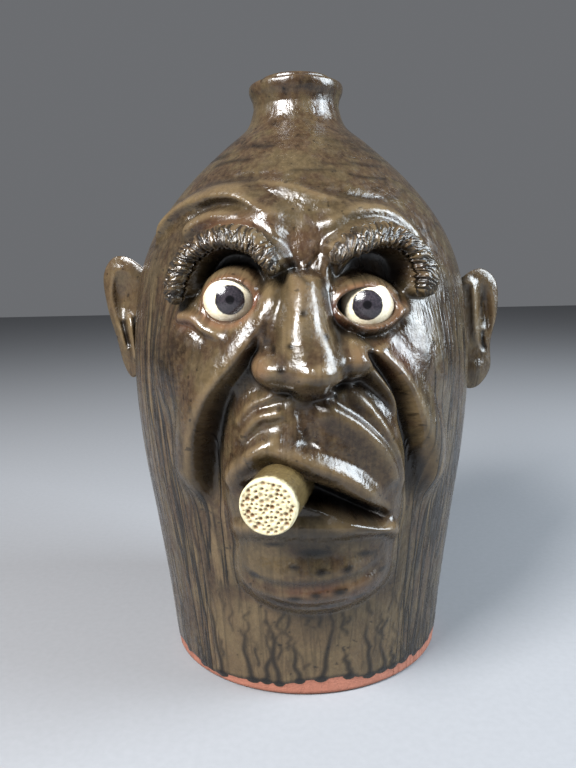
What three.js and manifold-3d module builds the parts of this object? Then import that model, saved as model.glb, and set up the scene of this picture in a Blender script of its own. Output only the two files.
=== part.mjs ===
// A stoneware face jug: a thrown, hollow jug with a face modelled on its wall,
// two ball eyes set behind its lids, and a short cigar in its mouth.
//
// Millimetres, +Z up. The origin is the centre of the underside, on the axis of
// the wheel, and the face looks along -Y. Left and right are the jug's own, so
// its left is +X.

import * as THREE from 'three';
import { mergeVertices } from 'three/addons/utils/BufferGeometryUtils.js';
import Module from 'manifold-3d';

const wasm = await Module();
wasm.setup();

// Driving dimensions of the thrown jug
const HEIGHT = 290;
const BASE_RADIUS = 71.2;
const BODY_RADIUS = 86.3;
const NECK_RADIUS = 21.3;
const NECK_HEIGHT = 276;
const BORE_RADIUS = 12;
const WALL = 8;
const FLOOR = 9;
const FLOOR_FILLET = 5;

// The outer wall as (radius, height), from the foot to the neck
const WALL_POINTS = [
  [BASE_RADIUS, 0],
  [73.9, 30],
  [78.9, 70],
  [84.2, 110],
  [BODY_RADIUS, 147],
  [84.2, 179],
  [79.5, 200.5],
  [70.2, 220],
  [55.2, 239],
  [37.6, 255.5],
  [25.2, 266],
  [NECK_RADIUS, NECK_HEIGHT],
];

// The rim above the neck: a rounded collar with a thin lip on it
const RIM_POINTS = [[21.9, 280], [23.5, 284.4], [22.6, 287], [18.4, 287.6], [17.6, 289.4], [15.6, HEIGHT]];
const LIP_FLARE = 14.5;

// The face is laid out on the wall like a map: s runs round the jug from the
// middle of the face, in millimetres at this radius, and z runs up it.
const MAP_RADIUS = 85;

// Each eye is a ball behind an opening between its lids. Both have their centres on
// the map, at a depth below the wall, and face one point in front of the jug.
const GAP = 0.3;
const EYE_RADIUS = 11.7;
const EYE_BACK = 3.2;
const EYE_DEPTH = 5.6;
const LEFT_EYE = { ball: [31.6, 181], opening: [31, 180.6], radii: [12, 7.3], turn: -6, pinch: 0.4 };
const RIGHT_EYE = { ball: [-33, 184.5], opening: [-33.6, 184], radii: [10.4, 8.4], turn: 0, pinch: 0 };
const LOOKS_AT = new THREE.Vector3(0, -362, 196);
const SWELL = 10;
const SWELL_REACH = 34;

// The cigar, from the root in the mouth to the burnt end
const CIGAR_RADIUS = 11.4;
const CIGAR_EDGE = 1.2;
const CIGAR_END = new THREE.Vector3(-13.7, -117, 108.4);
const CIGAR_ROOT = new THREE.Vector3(-6.1, -84, 109.2);

// Ears, which stand out from the sides of the wall
const EAR_ANGLE = 84;
const EAR_SWEEP = 22;
const EAR_THICKNESS = 7;
const EAR_HOLLOW = 3.4;
const EAR_MIDDLE = [4, 2];

// Rings of an ear from its middle to its edge and back, each as its share of the way
// out and its level: on the face 0 is the hollow and 1 the rim, on the back -1 is flat
const EAR_FACE = [[0, -0.2], [0.45, -0.2], [0.72, 0.55], [0.88, 1], [1, 0.45]];
const EAR_BACK = [[1, -0.35], [0.86, -1], [0.5, -1.35], [0, -1.4]];
const RIGHT_EAR = {
  side: -1,
  z: 174,
  outline: [
    [-9, 18], [0, 29], [11, 31], [18, 22], [17, 6],
    [12.5, -11], [9, -25], [4, -31.5], [-3, -24], [-9, -10],
  ],
};
const LEFT_EAR = {
  side: 1,
  z: 165,
  outline: [
    [-9, 17], [-1, 27], [9, 30], [17, 23], [18, 8],
    [14.5, -8], [14.5, -22], [7, -31], [-2, -29], [-9, -12],
  ],
};

// The pulled handle behind the neck
const HANDLE_WIDTH = 26;
const HANDLE_THICKNESS = 10;
const HANDLE_PATH = [[14, 267], [30, 276], [52, 277], [71, 265], [79, 246], [76, 229], [66, 215]];

// How finely the forms are drawn: heights in millimetres, and counts of facets
const WALL_LEVELS = [
  [0, 3, 1], [3, 48, 3], [48, 92, 8], [92, 168, 17], [168, 216, 14], [216, NECK_HEIGHT, 8],
];
const COLUMNS = 58;
const FRONT_SHARE = 0.42;
const SOFTENING = 1.8;
const CAVITY_SEGMENTS = 22;
const CAVITY_LEVELS = [[40, 160, 3], [160, NECK_HEIGHT, 9]];
const EYE_SEGMENTS = 20;
const EYE_ROWS = 7;
const OPENING_SEGMENTS = 20;
const OPENING_DEPTH = 30;
const CIGAR_SEGMENTS = 28;
const EAR_POINTS = 20;
const HANDLE_STEPS = 12;
const HANDLE_SIDES = 6;

const { clamp, lerp, degToRad } = THREE.MathUtils;

// Colours of the fired surfaces
const glaze = () => new THREE.MeshStandardMaterial({ color: 0x69583f, roughness: 0.25, metalness: 0 });
const porcelain = () => new THREE.MeshStandardMaterial({ color: 0xe1d7be, roughness: 0.15, metalness: 0 });
const ash = () => new THREE.MeshStandardMaterial({ color: 0xd4c896, roughness: 0.7, metalness: 0 });

// The wall's outer radius at a height
const wallCurve = new THREE.SplineCurve(WALL_POINTS.map(([r, z]) => new THREE.Vector2(r, z))).getPoints(220);

function wallRadius(z) {
  if (z <= 0) return BASE_RADIUS;
  const i = wallCurve.findIndex((p) => p.y > z);
  if (i < 0) return NECK_RADIUS;
  const [a, b] = [wallCurve[i - 1], wallCurve[i]];
  return lerp(a.x, b.x, (z - a.y) / (b.y - a.y));
}

// A point on the face's map, h millimetres proud of the wall
function onWall(s, z, h = 0) {
  const angle = s / MAP_RADIUS;
  const r = wallRadius(z) + h;
  return new THREE.Vector3(r * Math.sin(angle), -r * Math.cos(angle), z);
}

// Cross sections of a roll of clay, from 1 at its middle to 0 at its edge
const soft = (x) => clamp(1 - x * x, 0, 1) ** 2;
const round = (x) => Math.sqrt(clamp(1 - x * x, 0, 1));
const full = (x) => clamp(1 - x ** 2.2, 0, 1);
const flat = (x) => clamp(1 - x ** 2.8, 0, 1) ** 0.8;
const mound = (x) => clamp(1 - x ** 3.4, 0, 1) ** 0.9;
const sharp = (x) => clamp(1 - x, 0, 1) ** 1.6;

function smoothMax(a, b, k) {
  const t = clamp(0.5 + (0.5 * (a - b)) / k, 0, 1);
  return b + (a - b) * t + k * t * (1 - t);
}

// A value that runs through a list from the start to the end of a stroke
function along(values, t) {
  const list = [values].flat();
  const x = t * (list.length - 1);
  const i = Math.min(Math.floor(x), list.length - 2);
  return list.length === 1 ? list[0] : lerp(list[i], list[i + 1], x - i);
}

// Builds h up to a form that ends softly in the wall
function build(h, height, share, blend) {
  const low = -blend - 1;
  return share > 0 ? smoothMax(h, low + (height - low) * share, blend) : h;
}

// The marks are worked over the wall in the order they are made
const marks = [];

// A roll of clay, or with a negative height a groove, along a curve on the map. The
// side to the right of its path may have a width and a form of its own. A pressed
// stroke takes the wall to that height.
function stroke(points, height, width, options = {}) {
  const { shape = soft, blend = 0, fade = [0.15, 0.15], right = [width, shape], pressed = false } = options;
  const curve = new THREE.SplineCurve(points.map(([s, z]) => new THREE.Vector2(s, z)));
  const path = curve.getPoints(6 * (points.length - 1));
  const reach = 1 + Math.max(...[width, right[0]].flat());
  const box = new THREE.Box2().setFromPoints(path).expandByScalar(reach);
  const starts = [0];
  path.slice(1).forEach((p, i) => starts.push(starts[i] + p.distanceTo(path[i])));
  const length = starts.at(-1);
  const here = new THREE.Vector2();
  marks.push((h, s, z) => {
    if (!box.containsPoint(here.set(s, z))) return h;
    let [distance, t, side] = [Infinity, 0, 0];
    for (let i = 0; i < path.length - 1; i += 1) {
      const [ds, dz] = [path[i + 1].x - path[i].x, path[i + 1].y - path[i].y];
      const [es, ez] = [s - path[i].x, z - path[i].y];
      const share = clamp((es * ds + ez * dz) / (ds * ds + dz * dz), 0, 1);
      const [rs, rz] = [es - share * ds, ez - share * dz];
      const d = Math.hypot(rs, rz);
      if (d < distance) {
        distance = d;
        t = lerp(starts[i], starts[i + 1], share) / length;
        side = Math.sign(ds * rz - dz * rs);
      }
    }
    const [wide, form] = side > 0 ? [width, shape] : right;
    const start = fade[0] > 0 ? clamp(t / fade[0], 0, 1) : 1;
    const end = fade[1] > 0 ? clamp((1 - t) / fade[1], 0, 1) : 1;
    const share = form(distance / along(wide, t)) * (start * end) ** 2 * (3 - 2 * start * end);
    const rise = along(height, t);
    if (pressed) return lerp(h, Math.min(h, rise), share);
    return blend > 0 ? build(h, rise, share, blend) : h + rise * share;
  });
}

// A lump of clay, or with a negative height a hollow, with its edge an ellipse
function patch([s0, z0], [a, b], height, options = {}) {
  const { turn = 0, shape = soft, blend = 0, power = 2, pressed = false } = options;
  const [cos, sin] = [Math.cos(degToRad(turn)), Math.sin(degToRad(turn))];
  marks.push((h, s, z) => {
    const u = Math.abs(((s - s0) * cos + (z - z0) * sin) / a);
    const v = Math.abs(((z - z0) * cos - (s - s0) * sin) / b);
    const q = (u ** power + v ** power) ** (1 / power);
    if (q >= 1) return h;
    if (pressed) return -smoothMax(-h, -(height + (h - height) * q ** 4), blend);
    return blend > 0 ? build(h, height, shape(q), blend) : h + height * shape(q);
  });
}

function modelCheeksAndMouthMass() {
  patch([-46, 158], [40, 40], 7, { turn: -20 });
  patch([50, 154], [38, 40], 6, { turn: 20 });
  patch([6, 104], [45, 57], 14, { shape: mound, blend: 3, power: 2.5 });
  patch([0, 222], [86, 26], 2.5);
}

function modelSocketsAndBrows() {
  patch([-31, 195], [19, 12], -5.5, { blend: 3, pressed: true });
  patch([31, 195], [19, 11], -6, { blend: 3, pressed: true });
  const rightBrow = [[-52, 184], [-51, 195], [-46, 204.5], [-39, 209.5], [-30, 211], [-20, 208.5], [-13, 202.5],
    [-8.5, 193]];
  const leftBrow = [[13, 198], [21, 206], [31, 210], [40, 210], [48, 206], [52, 198], [52.5, 190],
    [52, 182]];
  const ledge = { blend: 2, right: [6.5, full] };
  stroke(rightBrow, [10, 12, 12.5, 12.5, 12.5, 12.5, 12, 10], 14, ledge);
  stroke(leftBrow, [10, 12, 12.5, 12.5, 12, 11.5, 10, 8], 14, ledge);
}

function modelForehead() {
  stroke([[-86, 214], [-76, 223], [-58, 228], [-40, 228.5], [-30, 227], [-20, 222], [-9, 217], [-1, 213]],
    3.4, 8);
  stroke([[-62, 214], [-53, 218.7], [-40.5, 220.1], [-28, 218.8], [-18, 214.4], [-9.5, 210], [-4, 205]],
    3, 6);
  stroke([[13, 213], [24, 219], [38, 221], [54, 217], [67, 207]], 2.8, 7);
  stroke([[10, 224], [30, 228], [48, 228], [68, 221]], 2, 8);
  stroke([[-21, 214], [-14.7, 209.7], [-6.6, 201.8], [0.8, 192.8]], -4, 4,
    { shape: sharp, fade: [0.25, 0.25] });
  stroke([[20, 213], [13, 207], [6, 200], [2, 195]], -3.4, 4, { shape: sharp, fade: [0.25, 0.15] });
}

function modelNose() {
  patch([-10, 177], [11, 11], 8, { blend: 3 });
  stroke([[3.5, 197], [2.5, 190], [1.5, 183], [1.5, 172], [3, 160]],
    [8.5, 13.5, 18, 22.5, 26.5], [6, 7.5, 9.5, 13, 16], { shape: flat, blend: 3, fade: [0.12, 0] });
  patch([4.5, 158], [13, 12], 28.5, { shape: round, blend: 3 });
  patch([-7.5, 158], [10, 8.5], 20.5, { shape: round, blend: 3.5 });
  patch([18.5, 161], [9.5, 9], 20, { shape: round, blend: 3.5 });
}

// The fold from each side of the nose down past the mouth, steep towards the mouth and
// running out into the cheek, and the valley inside it
function modelCheekFolds() {
  const rightFold = [[-17, 190], [-14, 180], [-16, 173], [-25, 160], [-33, 149], [-40, 136], [-45, 121],
    [-47.5, 108], [-48.5, 96], [-48, 82]];
  const leftFold = [[19, 170], [24.5, 160], [33, 151], [42, 139.5], [50, 130], [57, 119], [60.6, 107],
    [62.6, 94], [62, 80]];
  stroke(rightFold, [6, 10, 12, 14, 14.5, 13.5, 12, 10.5, 8.5, 5], [3.5, 4, 5, 6, 6, 6, 6, 6, 6, 6],
    { shape: full, blend: 4, fade: [0.1, 0.25], right: [22, soft] });
  stroke(leftFold, [10, 13, 13, 12, 11, 9.5, 8, 5, 3], 22,
    { blend: 4, fade: [0.12, 0.25], right: [12, soft] });
  stroke([[-20, 153.5], [-30, 145], [-36, 133], [-39, 120], [-41, 107], [-41.3, 96], [-42, 84]],
    [8, 1, -2, -3, -3, -2, 1], [4, 4.6, 5.4, 6, 6.4, 6.4, 6], { fade: [0.06, 0.25], pressed: true });
  stroke([[21, 167], [29, 158], [38, 146], [43, 133.5], [47.5, 119], [49.5, 105], [51.5, 90], [53, 76]],
    [9, 2, -1, -2, -2, -2, 0, 2], 5, { fade: [0.08, 0.25], pressed: true });
}

function modelMouthAndChin() {
  patch([-14, 146], [14, 5.5], 2.4, { turn: 8 });
  patch([-15, 134], [15, 7], 2.4, { turn: 10 });
  stroke([[5, 146], [12, 141], [20, 134.5], [27.6, 124.6], [33, 116], [37, 104]], 2.4, 5);
  stroke([[-0.5, 145], [0.7, 140], [2, 132], [3.2, 125]], -3, 4, { fade: [0.2, 0.2] });
  const upperLip = [[-33, 103], [-28, 113], [-20, 121], [-11, 126], [-3, 123], [4, 119.5], [14, 114],
    [22.6, 106], [31, 97]];
  stroke(upperLip, [2, 4, 5, 5, 5, 5, 4.6, 4, 2.4], 6.6, { fade: [0.1, 0.15] });
  patch([5, 73], [47, 30], 15.5, { shape: mound, blend: 3, power: 2.3 });
  stroke([[-28, 84], [-20, 90], [-6, 92.5], [9, 91.5], [22, 90], [33, 86], [40, 78]],
    [2, 3.4, 3.6, 3.6, 3.8, 3.6, 2], 9, { fade: [0.15, 0.2] });
  const mouth = [[-26, 104], [-18, 108.5], [-10, 110], [2, 106.5], [10, 103.5], [20, 98.5], [30, 93.5],
    [36, 91]];
  stroke(mouth, [8, 2, -1, -2, -2, 0, 4, 9], [3.4, 5, 6, 6.5, 6, 5.2, 4.4, 3.4],
    { fade: [0.12, 0.15], pressed: true });
}

function modelLids() {
  patch([-31, 185.2], [17, 15], 6, { shape: round, blend: 2 });
  patch([30, 182], [20, 15], 7, { turn: -3, shape: round, blend: 2 });
  stroke([[-56, 178], [-45, 178], [-37, 173], [-27, 170]], [2, 2.8, 2.8, 1.6], 4);
  stroke([[13.5, 181], [18, 176], [25, 172.5], [33, 173.4], [40.3, 178], [50, 181.5]],
    [2.4, 3.4, 4, 4, 3.4, 2], 4, { fade: [0.1, 0.15] });
}

// How far the wall stands out at a place, softened over the size of a facet
function relief(s, z) {
  const around = [-1, 0, 1].flatMap((i) => [-1, 0, 1].map((j) => [i * SOFTENING, j * SOFTENING]));
  const heights = around.map(([ds, dz]) => marks.reduce((h, mark) => mark(h, s + ds, z + dz), 0));
  return heights.reduce((sum, h) => sum + h) / heights.length;
}

// Solids and meshes
function toSolid(geometry) {
  geometry.deleteAttribute('normal');
  geometry.deleteAttribute('uv');
  const merged = mergeVertices(geometry, 1e-4);
  const index = Array.from(merged.index.array);
  const triVerts = [];
  for (let i = 0; i < index.length; i += 3) {
    const [a, b, c] = index.slice(i, i + 3);
    if (a !== b && b !== c && c !== a) triVerts.push(a, b, c);
  }
  const vertProperties = new Float32Array(merged.attributes.position.array);
  return new wasm.Manifold(new wasm.Mesh({ numProp: 3, vertProperties, triVerts: new Uint32Array(triVerts) }));
}

function toMesh(name, solid, material) {
  const mesh = solid.getMesh();
  const geometry = new THREE.BufferGeometry();
  geometry.setAttribute('position', new THREE.BufferAttribute(Float32Array.from(mesh.vertProperties), 3));
  geometry.setIndex(Array.from(mesh.triVerts));
  geometry.computeVertexNormals();
  const object = new THREE.Mesh(geometry, material);
  object.name = name;
  return object;
}

// Turns a lathe's profile, whose axis is Y, so that its axis is Z
function turned(profile, segments) {
  const points = profile.map(([r, z]) => new THREE.Vector2(r, z));
  return new THREE.LatheGeometry(points, segments).rotateX(Math.PI / 2);
}

// Columns crowd together on the face and spread out at the back
function columnAngle(share) {
  const u = 2 * share - 1;
  return Math.PI * (FRONT_SHARE * u + (1 - FRONT_SHARE) * u ** 3);
}

function range(from, to, count) {
  return Array.from({ length: count }, (_, i) => lerp(from, to, i / count));
}

// Splits each four-sided facet of a lathe along the form rather than across it
function followForms(index, heights) {
  for (let i = 0; i < index.count; i += 6) {
    const [a, b, d, c] = [0, 1, 2, 3].map((k) => index.getX(i + k));
    if (Math.abs(heights[a] - heights[c]) < Math.abs(heights[b] - heights[d])) {
      [a, b, c, c, d, a].forEach((vertex, k) => index.setX(i + k, vertex));
    }
  }
}

// The jug's outside with its face, closed across the top
function makeOutside() {
  const levels = WALL_LEVELS.flatMap(([from, to, count]) => range(from, to, count));
  const wall = [...levels, NECK_HEIGHT].map((z) => [wallRadius(z), z]);
  const profile = [[0, 0], ...wall, ...RIM_POINTS, [0, HEIGHT]];
  const geometry = turned(profile, COLUMNS);
  const position = geometry.attributes.position;
  const heights = [];
  for (let i = 0; i < position.count; i += 1) {
    const [radius, z] = profile[i % profile.length];
    const angle = columnAngle(Math.floor(i / profile.length) / COLUMNS);
    const carved = radius > 0 && z > 0 && z < NECK_HEIGHT ? relief(angle * MAP_RADIUS, z) : 0;
    position.setXYZ(i, (radius + carved) * Math.sin(angle), -(radius + carved) * Math.cos(angle), z);
    heights[i] = carved;
  }
  followForms(geometry.index, heights);
  return toSolid(geometry);
}

// The space inside. The wall swells inwards behind each eye.
function makeCavity() {
  const inner = (z) => [Math.max(BORE_RADIUS, wallRadius(z) - WALL), z];
  const levels = CAVITY_LEVELS.flatMap(([from, to, count]) => range(from, to, count));
  const floor = [[0, FLOOR], [wallRadius(FLOOR) - WALL - FLOOR_FILLET, FLOOR], inner(FLOOR + FLOOR_FILLET)];
  const mouth = [[BORE_RADIUS, HEIGHT - 4], [LIP_FLARE, HEIGHT + 1], [0, HEIGHT + 1]];
  const profile = [...floor, ...levels.map(inner), ...mouth];
  const geometry = turned(profile, CAVITY_SEGMENTS);
  const position = geometry.attributes.position;
  const at = new THREE.Vector3();
  for (let i = 0; i < position.count; i += 1) {
    at.fromBufferAttribute(position, i);
    const s = Math.atan2(at.x, -at.y) * MAP_RADIUS;
    const radius = Math.hypot(at.x, at.y);
    const away = [LEFT_EYE, RIGHT_EYE].map(({ ball }) => Math.hypot(s - ball[0], at.z - ball[1]));
    const swell = SWELL * away.reduce((sum, distance) => sum + soft(distance / SWELL_REACH), 0);
    const scale = radius > SWELL_REACH ? (radius - swell) / radius : 1;
    position.setXYZ(i, at.x * scale, at.y * scale, at.z);
  }
  return toSolid(geometry);
}

// An eye is a ball with a flat back, looking along its own +Z
function eyeProfile(grow) {
  const radius = EYE_RADIUS + grow;
  const back = -EYE_BACK - grow;
  const start = Math.asin(back / radius);
  const arc = range(start, Math.PI / 2, EYE_ROWS).map((a) => [radius * Math.cos(a), radius * Math.sin(a)]);
  return [[0, back], ...arc, [0, radius]];
}

function aimed(geometry, from, towards) {
  const turn = new THREE.Quaternion().setFromUnitVectors(
    new THREE.Vector3(0, 0, 1), towards.clone().sub(from).normalize());
  return geometry.applyQuaternion(turn).translate(from.x, from.y, from.z);
}

function makeEye(eye, grow = 0) {
  return toSolid(aimed(turned(eyeProfile(grow), EYE_SEGMENTS), onWall(...eye.ball, -EYE_DEPTH), LOOKS_AT));
}

// The opening between an eye's lids: an ellipse, or an almond with pinched corners
function makeLidOpening({ opening, radii: [a, b], turn, pinch }) {
  const shape = new THREE.Shape();
  shape.setFromPoints(range(0, 2 * Math.PI, OPENING_SEGMENTS).map((angle) => {
    return new THREE.Vector2(a * Math.cos(angle), b * Math.sin(angle) * Math.abs(Math.sin(angle)) ** pinch);
  }));
  const geometry = new THREE.ExtrudeGeometry(shape, { depth: OPENING_DEPTH, bevelEnabled: false });
  return toSolid(aimed(geometry.rotateZ(degToRad(turn)), onWall(...opening, -EYE_DEPTH), LOOKS_AT));
}

function makeCigar(grow = 0) {
  const length = CIGAR_ROOT.distanceTo(CIGAR_END);
  const r = CIGAR_RADIUS + grow;
  const end = [[r, length - CIGAR_EDGE], [r - CIGAR_EDGE, length], [0, length + grow]];
  return toSolid(aimed(turned([[0, -grow], [r, -grow], ...end], CIGAR_SEGMENTS), CIGAR_ROOT, CIGAR_END));
}

// An ear is a thin shell whose rim rolls round a hollow, drawn as rings inside its
// outline: forward over the hollow face, then back over the smooth one.
function makeEar({ side, z, outline }) {
  const points = outline.map(([a, b]) => new THREE.Vector3(a, b, 0));
  const edge = new THREE.CatmullRomCurve3(points, true).getPoints(EAR_POINTS).slice(0, EAR_POINTS);
  const half = EAR_THICKNESS / 2;
  const rings = [
    ...EAR_FACE.map(([share, level]) => [share, lerp(half - EAR_HOLLOW, half, level)]),
    ...EAR_BACK.map(([share, level]) => [share, half * level]),
  ];
  const sheet = new THREE.PlaneGeometry(1, 1, edge.length, rings.length - 1);
  const position = sheet.attributes.position;
  const middle = new THREE.Vector3(...EAR_MIDDLE, 0);
  for (let i = 0; i < position.count; i += 1) {
    const [share, level] = rings[Math.floor(i / (edge.length + 1))];
    const at = middle.clone().lerp(edge[i % (edge.length + 1) % edge.length], share);
    position.setXYZ(i, at.x, at.y, level);
  }
  // The ear's own axes: outwards, up, and towards the viewer of its hollow face
  const out = degToRad(EAR_ANGLE + EAR_SWEEP);
  const root = onWall(side * degToRad(EAR_ANGLE) * MAP_RADIUS, z);
  const axes = new THREE.Matrix4().makeBasis(
    new THREE.Vector3(side * Math.sin(out), -Math.cos(out), 0),
    new THREE.Vector3(0, 0, 1),
    new THREE.Vector3(side * Math.cos(out), -Math.sin(out), 0),
  );
  sheet.applyMatrix4(axes.setPosition(root));
  if (side > 0) sheet.index.array.reverse();
  return toSolid(sheet);
}

function makeHandle() {
  const shape = new THREE.Shape();
  shape.absellipse(0, 0, HANDLE_WIDTH / 2, HANDLE_THICKNESS / 2, 0, 2 * Math.PI);
  const section = new THREE.Shape(shape.getPoints(HANDLE_SIDES));
  const path = new THREE.CatmullRomCurve3(HANDLE_PATH.map(([y, z]) => new THREE.Vector3(0, y, z)));
  return toSolid(new THREE.ExtrudeGeometry(section, { steps: HANDLE_STEPS, extrudePath: path, bevelEnabled: false }));
}

function makeJug() {
  let jug = makeOutside();
  for (const part of [makeEar(RIGHT_EAR), makeEar(LEFT_EAR), makeHandle()]) {
    jug = jug.add(part);
  }
  for (const eye of [LEFT_EYE, RIGHT_EYE]) {
    jug = jug.subtract(makeEye(eye, GAP)).subtract(makeLidOpening(eye));
  }
  return jug.subtract(makeCigar(GAP)).subtract(makeCavity());
}

modelCheeksAndMouthMass();
modelSocketsAndBrows();
modelForehead();
modelNose();
modelCheekFolds();
modelMouthAndChin();
modelLids();

const faceJug = new THREE.Group();
faceJug.add(toMesh('jug', makeJug(), glaze()));
faceJug.add(toMesh('eye_left', makeEye(LEFT_EYE), porcelain()));
faceJug.add(toMesh('eye_right', makeEye(RIGHT_EYE), porcelain()));
faceJug.add(toMesh('cigar', makeCigar(), ash()));

export default faceJug;
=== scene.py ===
import math

import bpy
import numpy as np
from mathutils import Matrix, Vector


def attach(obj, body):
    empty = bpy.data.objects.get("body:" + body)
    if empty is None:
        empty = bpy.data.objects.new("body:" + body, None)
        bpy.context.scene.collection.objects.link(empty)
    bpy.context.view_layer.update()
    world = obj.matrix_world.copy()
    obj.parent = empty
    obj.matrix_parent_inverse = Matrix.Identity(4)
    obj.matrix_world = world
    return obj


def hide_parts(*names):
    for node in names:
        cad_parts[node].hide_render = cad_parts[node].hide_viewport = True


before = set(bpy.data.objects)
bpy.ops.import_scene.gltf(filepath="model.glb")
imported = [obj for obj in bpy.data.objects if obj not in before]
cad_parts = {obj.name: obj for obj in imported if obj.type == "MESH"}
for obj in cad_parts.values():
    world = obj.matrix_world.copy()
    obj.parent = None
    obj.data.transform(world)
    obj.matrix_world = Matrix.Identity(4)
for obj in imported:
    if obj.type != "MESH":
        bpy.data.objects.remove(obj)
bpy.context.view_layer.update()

# Lengths are in millimetres until a mesh is made
MM = 0.001
random = np.random.default_rng(11)

# The thrown wall, as radius and height
WALL_POINTS = [(71.2, 0), (73.9, 30), (78.9, 70), (84.2, 110), (86.3, 147), (84.2, 179), (79.5, 200.5),
               (70.2, 220), (55.2, 239), (37.6, 255.5), (25.2, 266), (21.3, 276)]
RIM_POINTS = [(21.3, 276), (21.9, 279.6), (23.1, 282.4), (23.5, 284.6), (23.1, 286.4), (21.4, 287.3),
              (18.7, 287.5), (17.9, 288.1), (17.6, 289.2), (16.8, 289.9), (15.6, 290), (14.0, 289.6),
              (12.6, 288.2), (12, 286)]
TOP_HEIGHT = 290
NECK_HEIGHT = 276
BORE_RADIUS = 12
WALL_THICKNESS = 8
INNER_FLOOR = 9
INNER_CORNER = 5

# The map of the wall: millimetres round it from the front, at this radius, and height
MAP_RADIUS = 85.0
HALF_ROUND = math.pi * MAP_RADIUS
FULL_ROUND = 2 * HALF_ROUND
MAP_STEP = 0.5

# Left and right are the jug's own, so its left eye is on the viewer's right
EYE_RADIUS = 11.7
EYE_DEPTH = 5.6
EYE_BACK = 3.2
LEFT_EYE = (31.6, 181)
RIGHT_EYE = (-33, 184.5)
LEFT_LIDS = (27.2, 180.9)
RIGHT_LIDS = (-29.8, 184.2)
VIEWER = np.array([0.0, -362.0, 196.1])
CIGAR_RADIUS = 11.4
CIGAR_END = np.array([-13.7, -117, 108.4])
CIGAR_ROOT = np.array([-6.1, -84, 109.2])


# Forms across a stroke or a patch: 1 in the middle and 0 at the edge
def soft(x):
    return np.clip(1 - x * x, 0, 1) ** 2


def dome(x):
    return np.sqrt(np.clip(1 - x * x, 0, 1))


def full(x):
    return np.clip(1 - np.abs(x) ** 2.2, 0, 1)


def flat(x):
    return np.clip(1 - np.abs(x) ** 2.8, 0, 1) ** 0.8


def wedge(x):
    return np.clip(1.08 - np.sqrt(x * x + 0.0064), 0, 1)


def mound(x):
    return np.clip(1 - np.abs(x) ** 3.4, 0, 1) ** 0.9


def boulder(x):
    return full(x) ** 0.85


def sharp(x):
    return np.clip(1 - np.abs(x), 0, 1) ** 1.6


def basin(x):
    return 1 - np.clip(x, 0, 1) ** 4


def cut(x):
    return ease((1 - x) / 0.1)


def ease(x, low=0.0, high=1.0):
    t = np.clip((x - low) / (high - low), 0, 1)
    return t * t * (3 - 2 * t)


def smooth_max(a, b, k):
    t = np.clip(0.5 + 0.5 * (a - b) / k, 0, 1)
    return b + (a - b) * t + k * t * (1 - t)


def curve(points, per_span=8, closed=False):
    """A smooth curve through the points."""
    p = np.array(points, float)
    p = np.vstack([p[-1:], p, p[:2]]) if closed else np.vstack([p[:1], p, p[-1:]])
    t = np.linspace(0, 1, per_span, endpoint=False)[:, None]
    parts = [
        0.5 * (2 * b + (c - a) * t + (2 * a - 5 * b + 4 * c - d) * t**2 + (3 * b - a - 3 * c + d) * t**3)
        for a, b, c, d in zip(p[:-3], p[1:-2], p[2:-1], p[3:])
    ]
    return np.vstack(parts if closed else [*parts, p[-2:-1]])


def listed(values, t):
    """A value, or values spread evenly along a path, at these shares of its length."""
    values = np.atleast_1d(np.array(values, float))
    return np.interp(t, np.linspace(0, 1, len(values)), values)


WALL_CURVE = curve(WALL_POINTS, 20)


def wall_radius(z):
    return np.interp(z, WALL_CURVE[:, 1], WALL_CURVE[:, 0])


def polar(r, angle, z):
    """Points at this radius, angle from the front, and height."""
    x = r * np.sin(angle)
    return np.stack([x, -r * np.cos(angle), np.broadcast_to(z, x.shape)], -1)


def on_wall(s, z, h=0.0):
    """Points at this height h above the wall's surface."""
    return polar(wall_radius(z) + h, np.asarray(s, float) / MAP_RADIUS, z)


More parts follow.
